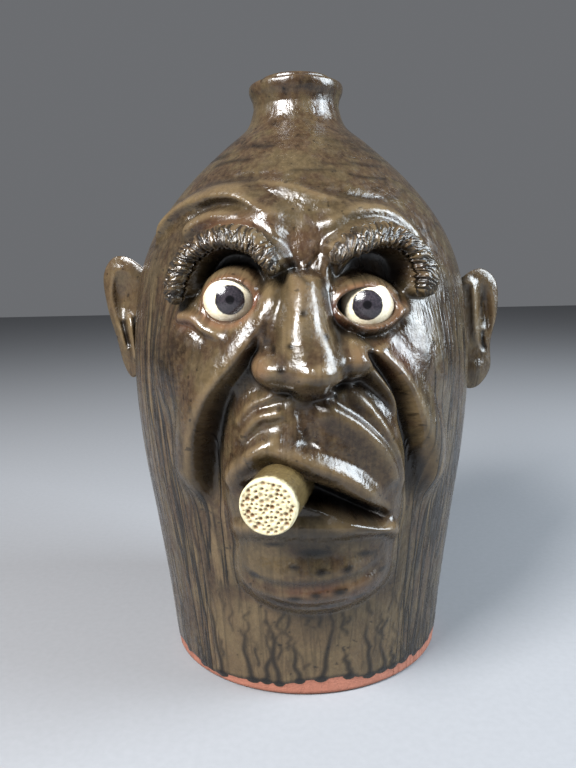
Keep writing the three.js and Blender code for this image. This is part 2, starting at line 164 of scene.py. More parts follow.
class Sheet:
    """A height or a colour's share over a flat map, worked with strokes and patches. They are
    added up, or, on a sheet that keeps the most, the highest one counts at each place."""

    def __init__(self, low, high, step=MAP_STEP, most=False):
        self.low, self.step, self.most = low, step, most
        self.s = np.arange(low[0], high[0], step)
        self.z = np.arange(low[1], high[1] + step, step)
        self.S, self.Z = np.meshgrid(self.s, self.z)
        self.h = np.zeros(self.S.shape)

    def window(self, lo, hi):
        i0, i1 = np.searchsorted(self.z, [lo[1], hi[1]])
        j0, j1 = np.searchsorted(self.s, [lo[0], hi[0]])
        return slice(i0, i1), slice(j0, j1)

    def along(self, path, reach):
        """For the places near a path: the distance to it, how far along it, and on which side."""
        win = self.window(path.min(0) - reach, path.max(0) + reach)
        distance = np.full(self.S[win].shape, 1e9)
        share, side = np.zeros_like(distance), np.zeros_like(distance)
        steps = np.diff(path, axis=0)
        lengths = np.hypot(*steps.T)
        starts = np.concatenate([[0], np.cumsum(lengths)])
        for a, b, step, length, start in zip(path[:-1], path[1:], steps, lengths, starts):
            if length < 1e-6:
                continue
            near = self.window(np.minimum(a, b) - reach, np.maximum(a, b) + reach)
            part = tuple(slice(n.start - w.start, n.stop - w.start) for n, w in zip(near, win))
            ds, dz = self.S[near] - a[0], self.Z[near] - a[1]
            t = np.clip((ds * step[0] + dz * step[1]) / length**2, 0, 1)
            es, ez = ds - t * step[0], dz - t * step[1]
            d = np.hypot(es, ez)
            better = d < distance[part]
            distance[part] = np.where(better, d, distance[part])
            share[part] = np.where(better, (start + t * length) / starts[-1], share[part])
            side[part] = np.where(better, np.sign(step[0] * ez - step[1] * es), side[part])
        return win, distance, share, side

    def stroke(self, points, height, width, form=soft, fade=(0.15, 0.15), build=0, right=None,
               right_form=None, press=False, closed=False):
        """A roll or groove along a curve. The sheet may also be built up to it with a blend, or
        pressed down to it. The path's right side may have a width and a form of its own."""
        path = curve(points, closed=closed)
        if closed:
            path = np.vstack([path, path[:1]])
        right, right_form = right or width, right_form or form
        win, d, t, side = self.along(path, max(np.max(width), np.max(right)) + 1)
        rise = listed(height, t)
        end = np.ones_like(t)
        if fade[0]:
            end *= ease(t / fade[0])
        if fade[1]:
            end *= ease((1 - t) / fade[1])
        on_right, on_left = right_form(d / listed(right, t)), form(d / listed(width, t))
        share = np.where(side < 0, on_right, on_left) * end
        self.work(win, rise, share, build, press)

    def patch(self, centre, radii, height, turn=0, form=soft, build=0, power=2, press=False):
        """A lump or hollow inside an ellipse."""
        reach = 1.1 * max(radii)
        win = self.window(np.array(centre) - reach, np.array(centre) + reach)
        s, z = self.S[win] - centre[0], self.Z[win] - centre[1]
        cos, sin = math.cos(math.radians(turn)), math.sin(math.radians(turn))
        u, v = np.abs(s * cos + z * sin) / radii[0], np.abs(z * cos - s * sin) / radii[1]
        q = (u**power + v**power) ** (1 / power)
        self.work(win, height, form(q), build, press)

    def work(self, win, rise, share, build, press):
        h = self.h[win]
        if press:
            h = h + (np.minimum(h, rise) - h) * share
        elif self.most:
            h = np.maximum(h, rise * share)
        elif build:
            low = -build - 1
            h = np.where(share > 0, smooth_max(h, low + (rise - low) * share, build), h)
        else:
            h = h + rise * share
        self.h[win] = h

    def blurred(self, size):
        """The sheet's heights, each a mean over a round area of this size."""
        n = int(round(3 * size / self.step))
        bell = np.exp(-0.5 * (np.arange(-n, n + 1) * self.step / size) ** 2)
        bell /= bell.sum()
        h = np.pad(self.h, n, mode="edge")
        h = sum(w * h[:, i:i + self.h.shape[1]] for i, w in enumerate(bell))
        return sum(w * h[i:i + self.h.shape[0]] for i, w in enumerate(bell))

    def at(self, s, z, h=None):
        """Values between the map's points, of the sheet or of another array on the same map."""
        h = self.h if h is None else h
        x = np.clip((np.asarray(s) - self.low[0]) / self.step, 0, h.shape[1] - 1.001)
        y = np.clip((np.asarray(z) - self.low[1]) / self.step, 0, h.shape[0] - 1.001)
        i, j = y.astype(int), x.astype(int)
        y, x = y - i, x - j
        lower, upper = ((1 - x) * h[row, j] + x * h[row, j + 1] for row in (i, i + 1))
        return (1 - y) * lower + y * upper


def wall_sheet(most=False):
    return Sheet((-HALF_ROUND, 0), (HALF_ROUND + MAP_STEP, TOP_HEIGHT), most=most)


# The face, form by form. Strokes and patches are (s, z) points on the map, in millimetres
def model_masses(w):
    w.patch((-46, 158), (40, 40), 7, turn=-20)
    w.patch((50, 154), (38, 40), 6, turn=20)
    w.patch((6, 104), (45, 57), 14, form=mound, build=3, power=2.5)
    w.patch((0, 222), (86, 26), 2.5)
    w.patch((-31, 195), (20, 13), -6.5, form=basin, press=True)
    w.patch((32, 194.5), (20, 12), -7, form=basin, press=True)


def model_forehead(w):
    w.stroke([(-95, 208), (-86, 218), (-76, 225), (-58, 229), (-40, 229), (-30, 227), (-20, 222), (-9, 217),
              (-1, 213)], 5.4, 8.5, right=5.5)
    w.stroke([(-66, 211), (-53, 218), (-40.5, 220), (-28, 218.8), (-18, 214.4), (-9.5, 210), (-5, 205)], 4.8,
             5.5, right=7.5)
    w.stroke([(8, 212), (18, 217), (30, 220), (44, 219.5), (57, 214), (68, 205)], 3.4, 5, right=8)
    w.stroke([(-70, 216), (-55, 223.5), (-40, 225), (-27, 222.5), (-17, 217.5)], -1.6, 3)
    w.stroke([(-63, 233.5), (-29, 234.5), (-7, 233), (9, 228.5), (22, 225), (36, 223.6), (54, 222),
              (70, 217)], 2.2, 1.6, right=9)
    w.stroke([(-60, 236), (-29, 237.5), (-7, 236), (9, 231.5), (22, 228), (36, 226.6), (54, 225)], -0.9, 2.4)
    w.stroke([(-21, 215), (-14.7, 210.5), (-6.6, 202.5), (0.8, 193.5), (5.5, 189)], -4.2, 3.4, form=sharp,
             fade=(0.25, 0.25))
    w.stroke([(20, 212), (12.5, 206), (6, 199.5), (2, 195)], -3.4, 3.6, form=sharp, fade=(0.3, 0.15))
    w.stroke([(0, 195), (5.5, 199.5), (12, 205), (18, 208.5)], 2, 3)


def model_brows(w):
    w.stroke([(-52, 184), (-51, 195), (-46, 204.5), (-39, 209.5), (-30, 211), (-20, 208.5), (-13, 202.5),
              (-8.5, 193)], [10, 12, 12.5, 12.5, 12.5, 12.5, 12, 10], 12, build=2, right=6.2, right_form=full,
             fade=(0.08, 0.1))
    w.stroke([(13, 198), (21, 206), (31, 210), (40, 210), (48, 206), (52, 198), (52.5, 190), (52, 182)],
             [10, 12, 12.5, 13, 13, 12.5, 12, 10], 12, build=2, right=6.2, right_form=full, fade=(0.1, 0.08))


def model_nose(w):
    w.stroke([(2, 196), (0.5, 188), (0, 180), (0, 170), (2, 160)], [8, 13, 17, 20, 21], [12, 15, 18, 22, 25],
             form=wedge, build=5, fade=(0.1, 0), right=[11, 14, 17, 21, 25])
    w.stroke([(3, 197), (2, 190), (1.5, 183), (1.5, 172), (3, 160)], [8.5, 14, 18.5, 22.5, 25.5],
             [8, 9.5, 11.5, 14.5, 17], form=flat, build=6, fade=(0.1, 0))
    w.patch((-10.5, 175), (10, 19), 9.5, form=mound, build=3)
    w.patch((4.5, 157), (14.5, 12.5), 28, form=full, build=5)
    w.patch((-8, 158), (12, 10), 21, form=dome, build=6)
    w.patch((18.5, 161), (10.5, 10), 20.5, form=dome, build=6)
    w.stroke([(11, 178), (12.5, 170), (13.5, 163.5)], -1.2, 3.6)
    w.stroke([(-6, 174), (-9, 169), (-12.5, 164.5)], -0.8, 3.4)
    w.patch((13, 150.5), (5.5, 3.2), -6)
    w.patch((-5, 148.6), (5, 2.8), -4)


def model_cheek_folds(w):
    w.stroke([(-17, 190), (-14, 180), (-16, 173), (-25, 160), (-33, 149), (-40, 136), (-45, 121),
              (-47.5, 108), (-48.5, 96), (-48, 82)], [5, 8.5, 11, 13, 13.4, 12.5, 11, 9.5, 7.5, 5],
             [3.5, 4, 4.6, 5, 5, 5, 5, 5.4, 5.4, 5.4], form=full, build=4, fade=(0.1, 0.25), right=27,
             right_form=soft)
    w.stroke([(19, 170), (24.5, 160), (33, 151), (42, 139.5), (50, 130), (57, 119), (60.6, 107), (62.6, 94),
              (62, 80)], [9, 12, 12, 11, 10, 8.8, 7.4, 5, 3], 27, build=4, fade=(0.12, 0.25), right=12)
    w.stroke([(-20, 153.5), (-29, 145.5), (-35, 133), (-38.5, 120), (-40.5, 107), (-41, 96), (-41.6, 84)],
             [8, 1, -2, -3, -3, -2, 1], [3.2, 3.8, 4.4, 5, 5.4, 5.6, 5.6], fade=(0.06, 0.25), press=True)
    w.stroke([(21, 167), (29, 158), (38, 146), (43, 133.5), (47.5, 119), (49.5, 105), (51.5, 90), (53, 76)],
             [9, 2, -1, -2, -2, -2, 0, 2], [3.4, 4, 4.4, 4.6, 4.6, 4.6, 4.6, 4], fade=(0.08, 0.25),
             press=True)


def model_mouth(w):
    w.stroke([(-3, 148.3), (-6.8, 148.4), (-12.2, 146.3), (-18.5, 143.4), (-22.6, 138.8), (-25.8, 131.6)],
             2.4, 3.6)
    w.stroke([(-5.2, 141.7), (-10.6, 139.7), (-15.3, 138.5), (-20, 133.4), (-23.2, 125.7)], 2.6, 3.8)
    w.stroke([(-6, 132.3), (-13, 129.3), (-17.3, 125.5), (-20.3, 121)], 1.6, 3.6)
    w.stroke([(5, 147), (12, 141), (20, 135), (28, 126), (33.5, 116), (37, 104)], 3, 2.6, right=9)
    w.stroke([(17, 150), (25, 142), (33, 129), (39.5, 115), (42.5, 100)], 2, 2, right=6)
    w.stroke([(-0.5, 145), (0.7, 140), (2, 132), (3.2, 124)], -2.6, 5.2, fade=(0.2, 0.2))
    w.stroke([(-33, 103), (-28, 113), (-20, 121), (-11, 126), (-3, 123), (4, 119.5), (14, 114), (22.6, 106),
              (31, 97)], [2, 4, 5, 5, 5, 5, 4.6, 4, 2.4], 6.6, fade=(0.1, 0.15))
    w.patch((5, 67), (45, 25), 18.5, form=boulder, build=5, power=2.2)
    w.patch((5, 83), (42, 18), 12.5, form=boulder, build=5, power=2.2)
    w.stroke([(-36, 80), (-30, 87), (-20, 91), (-6, 92.5), (9, 92), (22, 91.5), (34, 88), (42, 80), (43, 70)],
             [2, 3.4, 3.6, 3.4, 3.4, 4.2, 5.2, 4, 2], 5.5, fade=(0.15, 0.2),
             right=[7, 8, 8, 8, 8, 7.5, 6, 5, 5])
    w.stroke([(-30, 70), (-20, 66), (-8, 65), (8, 66), (24, 69), (36, 73)], -1.8, 4.5)
    w.stroke([(-18, 57), (0, 54), (20, 57)], -1.2, 3.5)
    w.stroke([(-26, 104), (-18, 108.5), (-10, 110), (2, 106), (10, 102.5), (20, 97.5), (30, 93), (38, 90)],
             [8, 2, -1, -3, -3, -2, 2, 9], [3.4, 5, 6.4, 7.4, 7.2, 6.4, 5, 3.2], fade=(0.12, 0.15),
             press=True, right=[3, 3.6, 4.4, 5, 5, 4.4, 3.6, 2.6])


def model_lids(w):
    w.patch((-30.8, 185.2), (15.6, 14), 5.4, form=dome, build=2)
    w.stroke([(-42, 186), (-37, 191.5), (-30, 193.5), (-22, 192), (-18, 187)], 1, 2.4)
    w.stroke([(-56, 178), (-45, 178), (-37, 173), (-27, 170)], [2, 2.8, 2.8, 1.6], 4)
    w.stroke([(-58, 186), (-50, 186.5), (-44, 185)], -1, 2)
    w.stroke([(-57, 175), (-46, 173), (-38, 168.5)], -1, 2)
    w.patch((29, 181.6), (18.5, 13.2), 6, turn=-3, form=dome, build=2, power=1.8)
    w.stroke([(13.5, 181), (18, 176), (25, 172.5), (33, 173.4), (40.3, 178), (50, 181.5)],
             [2.4, 3.4, 4, 4, 3.4, 2], 3.6, fade=(0.1, 0.15))
    w.stroke([(14.9, 176), (22, 169), (30, 168), (39, 171.5), (46, 175)], -1.4, 2.4)
    w.patch(RIGHT_LIDS, (10.4, 8.3), -5.5, form=cut, press=True)
    w.patch(LEFT_LIDS, (12.2, 7.3), -6, turn=-6, form=cut, press=True, power=1.75)


relief = wall_sheet()
for model in (model_masses, model_forehead, model_brows, model_nose, model_cheek_folds, model_mouth,
              model_lids):
    model(relief)
relief.h = relief.blurred(0.55)

# The mark of the last throwing ring on the shoulder
relief.stroke([(-250, 250), (-120, 249), (-40, 248.5), (0, 247.5), (60, 245), (150, 247), (250, 250)], -0.5,
              1.0, fade=(0.02, 0.02))


# Marks on the glaze: where it ran dark, where painted shade darkens the mouth, the lids' openings
# and the frown, and where it is thin over the red clay
def wander(start, end, amount, count=7):
    """A path that strays a little on its way."""
    t = np.linspace(0, 1, count)[:, None]
    path = np.array(start, float) + (np.array(end, float) - np.array(start, float)) * t
    path[1:-1, 0] += random.normal(0, amount, count - 2)
    return path.tolist()


def glaze_edge(s):
    """How high the glaze ends above the foot."""
    a = s / MAP_RADIUS
    broad = 6.2 + 1.5 * np.sin(2 * a + 0.4) + 1.2 * np.sin(5 * a + 1.3)
    return broad + 0.7 * np.sin(11 * a) + 0.4 * np.sin(23 * a + 2)


def oval(centre, wide, high):
    """Points round an ellipse on the map."""
    (s, z), turns = centre, np.arange(14) * math.pi / 7
    return [(s + wide * math.cos(a), z + high * math.sin(a)) for a in turns]


# The drips that end in a bead at the glaze's edge: where round the wall, and how long
DRIPS = [(-85, 22), (-68, 16), (-52, 40), (-31, 30), (-23, 20), (-15.5, 34), (-4, 22), (8, 33), (24, 14),
         (36.5, 32), (45, 20), (53, 14), (62, 12), (73, 24), (92, 30)]
# Dark blots on the chin, the lower lip and the nose: place and radii
BLOTS = [(-21, 68, 4.2, 2.2), (6, 73, 3.2, 2.2), (16, 73, 3, 2.2), (-4, 75, 3, 1.5), (-4, 60, 4, 2),
         (4, 62, 3, 1.8), (13, 63, 4, 2.2), (-8, 55, 7, 1.8), (8, 54, 6, 1.6), (22, 58, 5, 1.6),
         (-26, 60, 4, 1.6), (4, 81, 9, 2.4), (24, 78, 6, 1.6), (30, 86, 3, 1.6), (-12, 84, 6, 1.5),
         (33, 68, 4, 1.4), (-6, 159, 2, 2), (-3, 168, 1.8, 1.5), (1, 180, 1.6, 1.8), (-9, 166, 1.4, 2.4),
         (8, 171, 1.4, 2)]
# Where the red clay shows through: place, radii and share
FLUSHES = [(-30, 184, 15, 12, 0.85), (28, 180, 17, 11, 0.9), (-14, 158, 6, 7, 0.6), (20, 163, 6, 6, 0.4),
           (0, 208, 14, 10, 0.12), (-46, 176, 12, 6, 0.5), (42, 180, 10, 6, 0.5), (10, 62, 30, 9, 0.35),
           (-30, 215, 30, 8, 0.35), (40, 160, 16, 14, 0.3)]
FOOT_RUNS = 52
SIDE_RUNS = 190
SHOULDER_SMEARS = 64

runs_and_shade = wall_sheet(most=True)
for s, long in DRIPS:
    z = glaze_edge(s) + 0.4
    path = wander((s + random.uniform(-6, 6), z + long), (s, z), 1.2)
    runs_and_shade.stroke(path, [0.8, 1, 1], [1.2, 1.8, 2.6], form=full, fade=(0.25, 0))
    runs_and_shade.patch((s, z), (random.uniform(3.6, 5.6), 2.4), 1.3, form=full)
for _ in range(FOOT_RUNS):
    s, z = random.uniform(-52, 54), random.uniform(12, 42)
    path = wander((s, z + random.uniform(5, 16)), (s + random.uniform(-3, 3), z), 1.3, 5)
    runs_and_shade.stroke(path, random.uniform(0.6, 1), random.uniform(0.9, 1.7))
for _ in range(SIDE_RUNS):
    s = random.uniform(50, FULL_ROUND - 50)
    s -= FULL_ROUND * (s > HALF_ROUND)
    top = random.uniform(60, 215)
    path = wander((s, top), (s + random.uniform(-5, 5), max(8, top - random.uniform(25, 120))), 1.3, 9)
    runs_and_shade.stroke(path, random.uniform(0.35, 0.95), random.uniform(0.7, 1.5))
for _ in range(SHOULDER_SMEARS):
    s, z = random.uniform(-HALF_ROUND, HALF_ROUND), random.uniform(206, 262)
    if abs(s) < 60 and z < 228:
        continue
    long = random.uniform(4, 16) * (1 + 40 / wall_radius(z))
    lift = random.uniform(-3, 3)
    path = [(s - long, z), (s, z + lift), (s + long, z + lift / 2)]
    runs_and_shade.stroke(path, random.uniform(0.5, 1), random.uniform(0.8, 1.8))
for s, z, wide, high in BLOTS:
    runs_and_shade.patch((s, z), (wide, high), 1.15, turn=random.uniform(-12, 12), form=full)
# The mouth's opening, painted dark as its shade
runs_and_shade.stroke([(-22, 103), (-8, 104), (4, 101.5), (14, 97.5), (24, 93.5), (35, 90)], 0.95,
            [3, 6, 7, 6.5, 5, 2.5], form=full, fade=(0.1, 0.15))
flush = wall_sheet(most=True)
for s, z, wide, high, share in FLUSHES:
    flush.patch((s, z), (wide, high), share)
# The lids' rims, red, with a dark line of painted shade inside
for centre, (wide, high) in ((RIGHT_LIDS, (11.4, 9.3)), (LEFT_LIDS, (13.2, 8.3))):
    flush.stroke(oval(centre, wide, high), 1, 2.8, closed=True, fade=(0, 0))
    runs_and_shade.stroke(oval(centre, wide - 0.8, high - 0.8), 0.75, 1.1, closed=True, fade=(0, 0))
# The frown's long line, painted dark as the crease's shade
runs_and_shade.stroke([(-22, 215.5), (-14.7, 210.5), (-6.6, 202.5), (0.8, 193.5), (6.5, 187.5)], 0.8,
            [1, 1.7, 1.9, 1.6, 0.8], fade=(0.15, 0.15))


# Meshes
def linked(name, data):
    made = bpy.data.objects.new(name, data)
    bpy.context.scene.collection.objects.link(made)
    return made


def make_object(name, points, faces, attributes):
    """A mesh from points in millimetres, with smooth shading."""
    mesh = bpy.data.meshes.new(name)
    mesh.from_pydata((np.asarray(points) * MM).tolist(), [], faces)
    mesh.update()
    mesh.shade_smooth()
    for key, values in attributes.items():
        values = np.ascontiguousarray(values, np.float32)
        kind, field = ("FLOAT", "value") if values.ndim == 1 else ("FLOAT_VECTOR", "vector")
        mesh.attributes.new(key, kind, "POINT").data.foreach_set(field, values.ravel())
    return linked(name, mesh)


def spaced(stops):
    """Places from stop to stop, each stretch at its own spacing."""
    parts = [np.linspace(a, b, max(1, round((b - a) / step)), endpoint=False) for a, b, step in stops]
    return np.concatenate([*parts, [stops[-1][1]]])


def quads(rows, columns, first=0, closed=False):
    wide = columns if closed else columns - 1
    i, j = np.meshgrid(np.arange(rows - 1), np.arange(wide), indexing="ij")
    k = (j + 1) % columns
    corners = np.stack([i * columns + j, i * columns + k, (i + 1) * columns + k, (i + 1) * columns + j], -1)
    return (corners.reshape(-1, 4) + first).tolist()


def flipped(faces):
    return [face[::-1] for face in faces]


def fan(first, count, centre, flip=False):
    """Triangles from a ring of points to the point in its middle."""
    near = [(first + j, first + (j + 1) % count, centre) for j in range(count)]
    return [(b, a, c) for a, b, c in near] if flip else near


def ring_band(low, low_turns, high, high_turns):
    """Triangles between two rings of points with different counts. The turns run from 0 to 1."""
    faces, i, j = [], 0, 0
    n, m = len(low), len(high)
    low_ends, high_ends = [*low_turns[1:], 1], [*high_turns[1:], 1]
    while i < n or j < m:
        if j == m or (i < n and low_ends[i] <= high_ends[j]):
            faces.append((low[i], low[(i + 1) % n], high[j % m]))
            i += 1
        else:
            faces.append((low[i % n], high[(j + 1) % m], high[j]))
            j += 1
    return faces


def along_forms(cells, heights):
    """Each cell as two triangles, split along the form rather than across it."""
    cells = np.array(cells)
    a, b, c, d = heights[cells].T
    turned = (np.abs(b - d) < np.abs(a - c))[:, None]
    return np.where(turned, cells[:, [0, 1, 3, 1, 2, 3]],
                    cells[:, [0, 1, 2, 0, 2, 3]]).reshape(-1, 3).tolist()


# The outside is a fine grid over the face and the sides, a coarse one at the back,
# and even rings on the neck and the rim
BACK_FROM = 105
SKIP = 4
TOP_OF_GRID = 252
RING = 160
INNER_RING = 72
THROWING_RINGS = 0.35
SOCKET_ROOM = 34
SOCKET_DEPTH = 10
GLAZE_THICKNESS = 0.35
FOOT_BEVEL = 1.2
front = spaced([(-BACK_FROM, -62, 1.65), (-62, -24, 0.8), (-24, 26, 0.66), (26, 64, 0.8),
                (64, BACK_FROM, 1.65)])
back = spaced([(BACK_FROM, FULL_ROUND - BACK_FROM, 4.0)])[1:-1]
rows = spaced([(0, 1.2, 1.2), (1.2, 45, 1.2), (45, 85, 0.9), (85, 202, 0.67), (202, 226, 0.8),
               (226, TOP_OF_GRID, 1.0)])
rows = rows[: (len(rows) - 1) // SKIP * SKIP + 1]
points, faces = [], []


def add_points(made):
    """Adds points to the body, and gives the number of the first."""
    start = sum(len(p) for p in points)
    points.append(made.reshape(-1, 3))
    return start


def raised(s, z):
    """The relief, which fades out on the neck."""
    return relief.at(s, z) * ease(z, 262, 250)


def outside(s, z):
    """Points of the body's surface. The glaze stands proud of the clay, and the foot has a bevel."""
    turned = (np.asarray(s) + HALF_ROUND) % FULL_ROUND - HALF_ROUND
    bare = ease(glaze_edge(turned) - z, -0.4, 0.4)
    bevel = ease(z, 1.0, 0) * (z < 1.3)
    return on_wall(s, z, raised(turned, z) - GLAZE_THICKNESS * bare - FOOT_BEVEL * bevel)


S, Z = np.meshgrid(front, rows)
front_start = add_points(outside(S, Z))
faces += along_forms(quads(*S.shape, front_start), relief.at(S, Z).ravel())
S, Z = np.meshgrid(back, rows[::SKIP])
back_start = add_points(outside(S, Z))
faces += quads(*S.shape, back_start)
wide, narrow = len(front), len(back)
# The seams between them, where each coarse cell meets several fine ones
for k in range(len(rows) // SKIP):
    for edge, near, flip in ((wide - 1, 0, False), (0, narrow - 1, True)):
        fine = [front_start + (k * SKIP + i) * wide + edge for i in range(SKIP + 1)]
        low, high = (back_start + (k + i) * narrow + near for i in (0, 1))
        half = SKIP // 2
        made = [(fine[i], low if i < half else high, fine[i + 1]) for i in range(SKIP)]
        made.append((fine[half], low, high))
        faces += flipped(made) if flip else made

# Rings of points from the shoulder over the rim and down the bore
turns = np.arange(RING) / RING
neck_z = np.linspace(rows[-1], NECK_HEIGHT, 26)[1:]
rim = curve(RIM_POINTS, 4)[1:]
profile = np.vstack([np.stack([wall_radius(neck_z), neck_z], -1), rim])
rings = polar(profile[:, :1], turns * 2 * math.pi - math.pi, profile[:, 1:])
lift = raised(turns[None] * FULL_ROUND - HALF_ROUND, profile[:, 1:])
rings[..., :2] *= 1 + (lift / profile[:, :1])[..., None]
ring_start = add_points(rings)
faces += quads(len(profile), RING, ring_start, closed=True)
grid_turns = (np.concatenate([front, back]) + HALF_ROUND) / FULL_ROUND
order = np.argsort(grid_turns % 1)


def whole_row(k):
    """The points of the grid all round the jug at a coarse row, from the middle of the back."""
    fine, coarse = front_start + k * SKIP * wide, back_start + k * narrow
    row = [*range(fine, fine + wide), *range(coarse, coarse + narrow)]
    return [row[i] for i in order]


faces += ring_band(whole_row(len(rows) // SKIP), grid_turns[order] % 1,
                   range(ring_start, ring_start + RING), turns)

# The inside follows the wall, with throwing rings, and leaves room for the eyes' sockets
levels = np.concatenate([np.linspace(284, 262, 8), np.linspace(260, 236, 14), np.linspace(232, 20, 62),
                         [16, 13, 11, 9.8, 9.2]])
inner_turns = np.arange(INNER_RING) / INNER_RING
angle = inner_turns * 2 * math.pi - math.pi
below = np.clip((INNER_FLOOR + INNER_CORNER - levels) / INNER_CORNER, 0, 1)
inner_r = wall_radius(levels) - WALL_THICKNESS + INNER_CORNER * (dome(below) - 1)
inner_r = np.maximum(inner_r + THROWING_RINGS * np.sin(levels * 0.9), BORE_RADIUS)
inner = inner_r[:, None] * np.ones(INNER_RING)
for s, z in (LEFT_EYE, RIGHT_EYE):
    away = np.hypot(angle[None] * MAP_RADIUS - s, levels[:, None] - z)
    inner -= SOCKET_DEPTH * soft(away / SOCKET_ROOM)
inner_start = add_points(polar(inner, angle, levels[:, None]))
faces += quads(len(levels), INNER_RING, inner_start, closed=True)
last_ring = ring_start + (len(profile) - 1) * RING
faces += ring_band(range(last_ring, last_ring + RING), turns,
                   range(inner_start, inner_start + INNER_RING), inner_turns)
centre = add_points(np.array([[0, 0, INNER_FLOOR]]))
faces += fan(inner_start + (len(levels) - 1) * INNER_RING, INNER_RING, centre)

# The flat base, from the foot's edge to its middle
base = whole_row(0)
foot = add_points(np.array([[0, 0, 0]]))
faces += [(base[(j + 1) % len(base)], base[j], foot) for j in range(len(base))]

all_points = np.vstack(points)

# What the glaze's colour depends on, from place to place
runs_and_shade.h = runs_and_shade.blurred(0.35)
# Hollows get pooled glaze and painted shade in one, ridges thin glaze and a painted highlight in one
hollow_fine = relief.blurred(2.4) - relief.blurred(0.8)
hollow_wide = relief.blurred(6) - relief.blurred(1.5)
modelled = ease(relief.blurred(4), 1.5, 5)
# The cheeks' outer sides count as plain wall, and the wall under the chin as modelled
modelled *= 1 - 0.75 * ease(np.abs(relief.S), 46, 58) * ease(relief.Z, 172, 150)
modelled = np.maximum(modelled, 0.8 * ease(58 - np.abs(relief.S), 0, 12) * ease(relief.Z, 62, 50))


def glaze_facts(at):
    """Attributes of the glaze at points in millimetres: where it pools, with painted shade in the
    hollows; where it is thin, with a painted highlight on the ridges; where it has run, with painted
    shade in the mouth, the lids' openings and the frown; where it is flushed red or lies on modelled
    clay; and how far it is above its edge."""
    s = np.arctan2(at[:, 0], -at[:, 1]) * MAP_RADIUS
    z = at[:, 2]
    r = MAP_RADIUS + (wall_radius(z) - MAP_RADIUS) * ease(z, 195, 235)
    fine, deep = relief.at(s, z, hollow_fine), relief.at(s, z, hollow_wide)
    under_chin = ease(62 - np.abs(s), 0, 14) * ease(z, 54, 40)
    return {
        "place": polar(r, s / MAP_RADIUS, z),
        # Pooled glaze with painted shade in the creases, sockets and hollows
        "pool_and_shade": 0.5 * ease(fine, 0.2, 1.8) + 0.6 * ease(deep, 1.8, 7),
        # Thin glaze lighter on the ridges, partly a painted highlight; the thin light ground under the chin
        "thin_and_highlight": ease(-fine, 0.1, 0.9) + 0.95 * under_chin,
        "above": z - glaze_edge(s),
        "run_and_shade": runs_and_shade.at(s, z),
        "flush": flush.at(s, z),
        "modelled": relief.at(s, z, modelled) * ease(z, 232, 215),
    }


body = make_object("jug_body", all_points, faces, glaze_facts(all_points))


# The brows' hair: a band of scratched clay on each ridge
BROW_STEP = 0.36
BROW_COLUMNS = 33
BROW_HEIGHT = 12.2
BROW_UNDERSIDE = 5.0
TUFT = 1.1
GROOVES_PER_MM = 4.2


def make_brow(name, middle, half_width, slant, seed):
    """A closed strip along the brow. Its top is combed into tufts that lean by the slant."""
    noise = np.random.default_rng(seed)
    path = curve(middle, 10)
    lengths = np.concatenate([[0], np.cumsum(np.hypot(*np.diff(path, axis=0).T))])
    u = np.linspace(0, lengths[-1], int(lengths[-1] / BROW_STEP))
    centre = np.stack([np.interp(u, lengths, path[:, k]) for k in (0, 1)], -1)
    ways = np.gradient(centre, axis=0)
    ways /= np.linalg.norm(ways, axis=1)[:, None]
    across = np.stack([-ways[:, 1], ways[:, 0]], -1)
    v = np.linspace(-1, 1, BROW_COLUMNS)
    end = np.sqrt(np.clip(1 - np.abs(2 * u / u[-1] - 1) ** 7, 0, 1))
    tuft_at = np.arange(0, u[-1] + 2, TUFT)
    wide = half_width * end * np.interp(u, tuft_at, noise.uniform(0.82, 1.22, len(tuft_at)))
    s = centre[:, :1] + across[:, :1] * v * wide[:, None]
    z = centre[:, 1:] + across[:, 1:] * v * wide[:, None]
    # Grooves cross the band, each with its own place, depth and length
    along = u[:, None] + 0.4 * np.sin(u[:, None] * 0.9 + 2 * v)
    groove = np.zeros_like(along)
    for _ in range(int(u[-1] * GROOVES_PER_MM)):
        at, middle_v, half = noise.uniform(0, u[-1]), noise.uniform(-1, 1), noise.uniform(0.3, 0.85)
        lean = along - at + (slant + noise.normal(0, 0.28)) * (v - middle_v) * half_width
        shape = soft(lean / noise.uniform(0.45, 0.85)) * soft((v - middle_v) / half) ** 0.5
        groove = np.maximum(groove, noise.uniform(0.4, 1.0) * shape)
    end = end[:, None]
    top = BROW_HEIGHT + 2.6 * dome(v) * end - 1.6 * groove * np.sqrt(np.clip(1.02 - v**2, 0, 1))
    top = top - 3.5 * (np.abs(v) ** 6) - 5 * (1 - end)
    upper = on_wall(s, z, top)
    lower = on_wall(s[:, 1:-1], z[:, 1:-1], BROW_UNDERSIDE)
    n, m = s.shape
    points = np.vstack([upper.reshape(-1, 3), lower.reshape(-1, 3)])
    low_at = n * m
    faces = flipped(quads(n, m)) + quads(n, m - 2, low_at)
    for i in range(n - 1):
        a, b = i * m, (i + 1) * m
        c, d = low_at + i * (m - 2), low_at + (i + 1) * (m - 2)
        faces += [(a, b, d, c), (b + m - 1, a + m - 1, c + m - 3, d + m - 3)]
    for i, flip in ((0, False), (n - 1, True)):
        a, c = i * m, low_at + i * (m - 2)
        made = [(a, c, a + 1)] + [(a + j, c + j - 1, c + j, a + j + 1) for j in range(1, m - 2)]
        made += [(a + m - 2, c + m - 3, a + m - 1)]
        faces += flipped(made) if flip else made
    none = np.zeros(len(points))
    dark_in = np.concatenate([groove.ravel(), none[n * m:]])
    # Dark in the grooves between the tufts, partly painted shade, and lighter on the tufts, partly a painted
    # highlight
    facts = {**glaze_facts(points), "pool_and_shade": ease(dark_in, 0.15, 0.75), "thin_and_highlight": 0.7 * ease(dark_in, 0.4, 0),
             "modelled": none + 1, "flush": none, "run_and_shade": none}
    return make_object(name, points, faces, facts)


